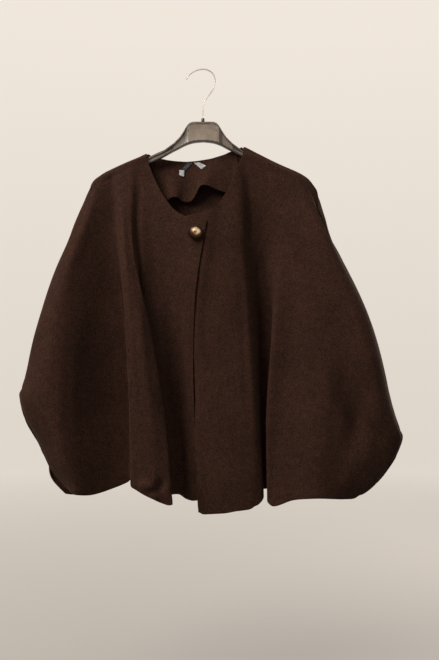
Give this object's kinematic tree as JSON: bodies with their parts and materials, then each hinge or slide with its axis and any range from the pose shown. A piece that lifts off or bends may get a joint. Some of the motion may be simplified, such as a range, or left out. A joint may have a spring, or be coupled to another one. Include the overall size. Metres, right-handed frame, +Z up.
{
  "type": "poncho on a coat hanger",
  "caption": "Collarless short wool poncho with one button, open front and arm slits, hanging in folds on a moulded hanger with a wire hook.",
  "frame": {"origin": "underside of the wire hook's crown, where the hanger hangs", "axes": "+Z up, +X toward the wearer's left side, the front of the garment faces -Y"},
  "size_m": [0.7647, 0.1498, 0.8834],
  "materials": {
    "wool": "felted dark brown melange wool with a short nap",
    "gilt_metal": "polished gilt dome",
    "thread": "dark sewing thread",
    "dark_ribbon": "woven ribbon, bare",
    "white_ribbon": "woven ribbon, bare",
    "hanger_plastic": "moulded, semi-gloss",
    "hook_wire": "bright drawn wire"
  },
  "bodies": {
    "root": {"back": "wool", "front_right": "wool", "front_left": "wool", "back_neck_facing": "wool", "button": "gilt_metal", "button_shank": "thread", "neck_label": "dark_ribbon", "size_tab": "white_ribbon", "care_label": "white_ribbon", "hanger_body": "hanger_plastic", "hanger_collar": "hanger_plastic", "hanger_hook": "hook_wire"}
  },
  "joints": []
}
